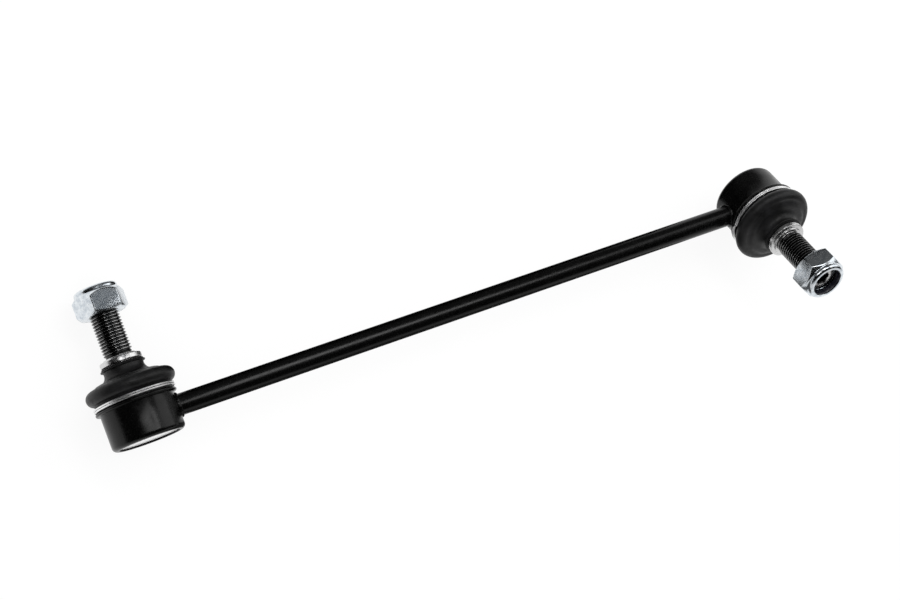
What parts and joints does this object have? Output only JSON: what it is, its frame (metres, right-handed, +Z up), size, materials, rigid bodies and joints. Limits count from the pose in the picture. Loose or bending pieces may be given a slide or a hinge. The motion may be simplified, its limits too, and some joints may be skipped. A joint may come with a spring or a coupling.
{
  "type": "stabilizer link",
  "caption": "Straight steel rod with a ball joint at each end, each with a threaded stud, rubber boot and self-locking nut, for an anti-roll bar.",
  "frame": {"origin": "bottom centre of the link's box, as it lies on a table on the left boot rim, the left nut and the right housing's back edge", "axes": "+X along the rod from the left joint to the right joint, +Y towards the left stud's side, +Z up"},
  "size_m": [0.3264, 0.0988, 0.0655],
  "materials": {
    "black_coating": "black dip coating, satin to semi-gloss",
    "bright_zinc": "bright zinc plating",
    "nut_zinc": "blue-white zinc plating",
    "stud_steel": "machined and rolled steel, lightly oiled",
    "boot_rubber": "matt black moulded rubber",
    "seat_plastic": "natural bearing plastic",
    "insert_plastic": "dark blue nylon"
  },
  "bodies": {
    "link_body": {"link_rod": "black_coating", "left_weld_bead": "black_coating", "right_weld_bead": "black_coating", "left_housing": "black_coating", "right_housing": "black_coating", "left_end_cap": "bright_zinc", "right_end_cap": "bright_zinc", "left_boot_clamp": "bright_zinc", "right_boot_clamp": "bright_zinc", "left_dust_boot": "boot_rubber", "right_dust_boot": "boot_rubber"},
    "left_seat_body": {"left_ball_seat": "seat_plastic"},
    "left_lean_body": {"left_boot_bush": "stud_steel"},
    "left_stud_body": {"left_ball_stud": "stud_steel"},
    "left_insert_body": {"left_nut_insert": "insert_plastic"},
    "left_nut_body": {"left_lock_nut": "nut_zinc"},
    "right_seat_body": {"right_ball_seat": "seat_plastic"},
    "right_lean_body": {"right_boot_bush": "stud_steel"},
    "right_stud_body": {"right_ball_stud": "stud_steel"},
    "right_insert_body": {"right_nut_insert": "insert_plastic"},
    "right_nut_body": {"right_lock_nut": "nut_zinc"}
  },
  "joints": [
    {"name": "left_lean_direction", "type": "hinge", "parent": "link_body", "child": "left_seat_body", "pos_m": [-0.145, -0.00326, 0.01977], "axis": [0, 0.9833, -0.1817], "continuous": true},
    {"name": "left_lean", "type": "hinge", "parent": "left_seat_body", "child": "left_lean_body", "pos_m": [-0.145, -0.00326, 0.01977], "axis": [1, 0, 0], "range_deg": [-25, 25], "deforming": ["left_dust_boot"]},
    {"name": "left_stud_spin", "type": "hinge", "parent": "left_lean_body", "child": "left_stud_body", "pos_m": [-0.145, -0.00326, 0.01977], "axis": [0, 0.9833, -0.1817], "continuous": true},
    {"name": "left_nut_travel", "type": "slide", "parent": "left_stud_body", "child": "left_insert_body", "axis": [0, 0.9833, -0.1817], "range_m": [-0.01755, 0.0088]},
    {"name": "left_nut_turn", "type": "hinge", "parent": "left_insert_body", "child": "left_nut_body", "pos_m": [-0.145, 0.03676, 0.01238], "axis": [0, 0.9833, -0.1817], "range_deg": [-5040, 2520]},
    {"name": "right_lean_direction", "type": "hinge", "parent": "link_body", "child": "right_seat_body", "pos_m": [0.145, -0.00761, 0.02213], "axis": [0, -0.6887, 0.725], "continuous": true},
    {"name": "right_lean", "type": "hinge", "parent": "right_seat_body", "child": "right_lean_body", "pos_m": [0.145, -0.00761, 0.02213], "axis": [1, 0, 0], "range_deg": [-25, 25], "deforming": ["right_dust_boot"]},
    {"name": "right_stud_spin", "type": "hinge", "parent": "right_lean_body", "child": "right_stud_body", "pos_m": [0.145, -0.00761, 0.02213], "axis": [0, -0.6887, 0.725], "continuous": true},
    {"name": "right_nut_travel", "type": "slide", "parent": "right_stud_body", "child": "right_insert_body", "axis": [0, -0.6887, 0.725], "range_m": [-0.01755, 0.0088]},
    {"name": "right_nut_turn", "type": "hinge", "parent": "right_insert_body", "child": "right_nut_body", "pos_m": [0.145, -0.03564, 0.05164], "axis": [0, -0.6887, 0.725], "range_deg": [-5040, 2520]}
  ],
  "couplings": [
    {"joint": "left_nut_travel", "follows": "left_nut_turn", "m_per_rad": 0.00019894},
    {"joint": "right_nut_travel", "follows": "right_nut_turn", "m_per_rad": 0.00019894}
  ]
}
